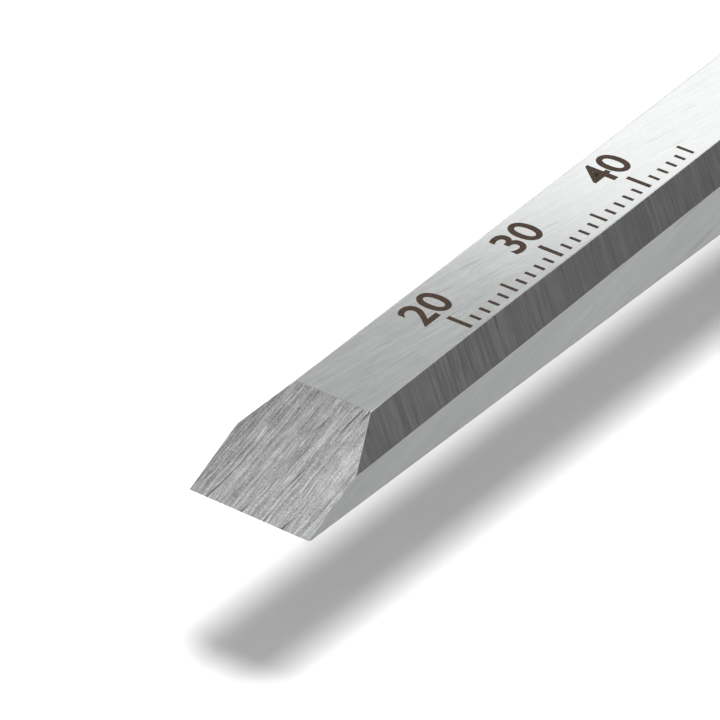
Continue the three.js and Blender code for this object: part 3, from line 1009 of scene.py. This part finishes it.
FLOOR_REACH = 30.0  # metres, each way
FLOOR_SEEN = (1.28, 1.28, 1.28)
FLOOR_MIRRORED_LEFT = (1.06, 1.06, 1.06)
FLOOR_MIRRORED_RIGHT = (0.475, 0.475, 0.475)
FLOOR_FADE = (-19.0, -8.0)  # x between which the mirrored floor turns from the left's tone to the right's
SKY_SEEN = 1.05
SURROUND = 0.33
SKY_MIRRORED_LEFT, SKY_MIRRORED_RIGHT = 0.53, 0.15
SKY_FADE = (-0.5, 0.5)  # x of the headings between which the mirrored sky turns from the one to the other


def floor_paint():
    """Matt white, over-lit in the view. Steel mirrors a greyer floor on the tool's right than on its left."""
    finish = Finish("floor_white")
    tree = finish.tree
    seen = finish.add("ShaderNodeBsdfDiffuse")
    seen.inputs["Color"].default_value = (*FLOOR_SEEN, 1.0)
    mirrored_floor = finish.add("ShaderNodeBsdfDiffuse")
    fade = finish.remap(finish.split(finish.place)[0], *FLOOR_FADE)
    mirrored_tone = finish.blend(fade, FLOOR_MIRRORED_LEFT, FLOOR_MIRRORED_RIGHT)
    finish.feed(mirrored_floor.inputs["Color"], mirrored_tone)
    mix = finish.add("ShaderNodeMixShader")
    finish.feed(mix.inputs[0], finish.add("ShaderNodeLightPath").outputs["Is Glossy Ray"])
    finish.feed(mix.inputs[1], seen.outputs[0])
    finish.feed(mix.inputs[2], mirrored_floor.outputs[0])
    tree.links.new(mix.outputs[0], tree.nodes["Material Output"].inputs["Surface"])
    tree.nodes.remove(finish.shader)
    return finish.material


def floor():
    reach = FLOOR_REACH
    mesh = bpy.data.meshes.new("studio_floor")
    mesh.from_pydata([(-reach, -reach, 0), (reach, -reach, 0), (reach, reach, 0), (-reach, reach, 0)], [],
                     [(0, 1, 2, 3)])
    obj = bpy.data.objects.new("studio_floor", mesh)
    bpy.context.scene.collection.objects.link(obj)
    mesh.materials.append(floor_paint())


def sky():
    """White for the camera, and a soft grey surround for matt shading. In gloss it is darker on the right."""
    world = bpy.data.worlds.new("studio")
    world.use_nodes = True
    bpy.context.scene.world = world
    tree = world.node_tree
    tree.nodes.clear()
    link = tree.links.new
    rays = tree.nodes.new("ShaderNodeLightPath")
    output = tree.nodes.new("ShaderNodeOutputWorld")
    white, surround, gloss = (tree.nodes.new("ShaderNodeBackground") for _ in range(3))
    white.inputs["Strength"].default_value = SKY_SEEN
    surround.inputs["Strength"].default_value = SURROUND
    for node in (white, surround, gloss):
        node.inputs["Color"].default_value = (1, 1, 1, 1)
    heading = tree.nodes.new("ShaderNodeTexCoord")
    axes = tree.nodes.new("ShaderNodeSeparateXYZ")
    fade = tree.nodes.new("ShaderNodeMapRange")
    link(heading.outputs["Generated"], axes.inputs[0])
    link(axes.outputs["X"], fade.inputs["Value"])
    for socket, number in zip(fade.inputs[1:5], (*SKY_FADE, SKY_MIRRORED_LEFT, SKY_MIRRORED_RIGHT)):
        socket.default_value = number
    link(fade.outputs[0], gloss.inputs["Strength"])
    by_gloss = tree.nodes.new("ShaderNodeMixShader")
    by_camera = tree.nodes.new("ShaderNodeMixShader")
    link(rays.outputs["Is Glossy Ray"], by_gloss.inputs[0])
    link(surround.outputs[0], by_gloss.inputs[1])
    link(gloss.outputs[0], by_gloss.inputs[2])
    link(rays.outputs["Is Camera Ray"], by_camera.inputs[0])
    link(by_gloss.outputs[0], by_camera.inputs[1])
    link(white.outputs[0], by_camera.inputs[2])
    link(by_camera.outputs[0], output.inputs["Surface"])


def add_light(name, kind, location, target, energy, shows_in="both", **settings):
    """A light that the camera doesn't see. It shows in matt shading, in gloss, or in both."""
    data = bpy.data.lights.new(name, kind)
    data.energy = energy
    for key, value in settings.items():
        setattr(data, key, value)
    obj = bpy.data.objects.new(name, data)
    obj.location = location
    obj.rotation_mode = "QUATERNION"
    obj.rotation_quaternion = (Vector(target) - Vector(location)).to_track_quat("-Z", "Y")
    obj.visible_camera = False
    obj.visible_diffuse = shows_in != "gloss"
    obj.visible_glossy = shows_in != "matt"
    bpy.context.scene.collection.objects.link(obj)
    return obj


TIP = ORIGIN + Vector((0, 0, BACK_Z)) * MM
AZIMUTH = math.radians(37.12)
ELEVATION = math.radians(33.07)
FORWARD = Vector((-math.sin(AZIMUTH) * math.cos(ELEVATION), math.cos(AZIMUTH) * math.cos(ELEVATION),
                  -math.sin(ELEVATION)))
RIGHT = Vector((math.cos(AZIMUTH), math.sin(AZIMUTH), 0))
UP = RIGHT.cross(FORWARD)
CAMERA_DISTANCE = 373.8 * MM
CAMERA_LENS = 300.0
CAMERA_SENSOR = 36.0
TIP_RIGHT = -6.93 * MM  # where the middle of the cutting edge is in the view
TIP_UP = -9.70 * MM


def camera():
    data = bpy.data.cameras.new("camera")
    data.lens = CAMERA_LENS
    data.sensor_width = CAMERA_SENSOR
    obj = bpy.data.objects.new("camera", data)
    obj.location = TIP - RIGHT * TIP_RIGHT - UP * TIP_UP - FORWARD * CAMERA_DISTANCE
    obj.rotation_mode = "QUATERNION"
    obj.rotation_quaternion = FORWARD.to_track_quat("-Z", "Y")
    bpy.context.scene.collection.objects.link(obj)
    bpy.context.scene.camera = obj


def suns():
    """Soft light from above, leaning towards the struck end: one for matt shading, a wider one for gloss."""
    add_light("key", "SUN", (0.008, 0.395, 1), (0, 0, 0), energy=3.5, shows_in="matt",
              angle=math.radians(36))
    add_light("key_gloss", "SUN", (0.03, 0.36, 1), (0, 0, 0), energy=1.5, shows_in="gloss",
              angle=math.radians(56))


EDGE_AT = TIP + Vector((0, 23.2, 5)) * MM
EDGE_SLANT = Vector((1, 0.52, 0))
CARD_SIZE = 54 * MM
CARD_AWAY = 85 * MM
CARD_RADIANCE = 0.95


def top_card():
    """The soft box that the blade's top mirrors. Its near edge mirrors there as a slanting line through
    EDGE_AT, and the top is brighter from that line towards the handle."""
    heading = Vector((FORWARD.x, FORWARD.y, -FORWARD.z))  # the view's direction, mirrored by a level face
    card_x = (EDGE_SLANT - heading * EDGE_SLANT.dot(heading)).normalized()
    card_y = heading.cross(card_x)
    middle = EDGE_AT + heading * CARD_AWAY + card_y * CARD_SIZE / 2
    energy = CARD_RADIANCE * math.pi * CARD_SIZE ** 2
    card = add_light("top_card", "AREA", middle, EDGE_AT, energy, shows_in="gloss",
                     shape="SQUARE", size=CARD_SIZE)
    card.rotation_quaternion = Matrix((card_x, card_y, heading)).transposed().to_quaternion()


floor()
sky()
camera()
suns()
top_card()

bpy.context.scene.view_settings.view_transform = "Standard"
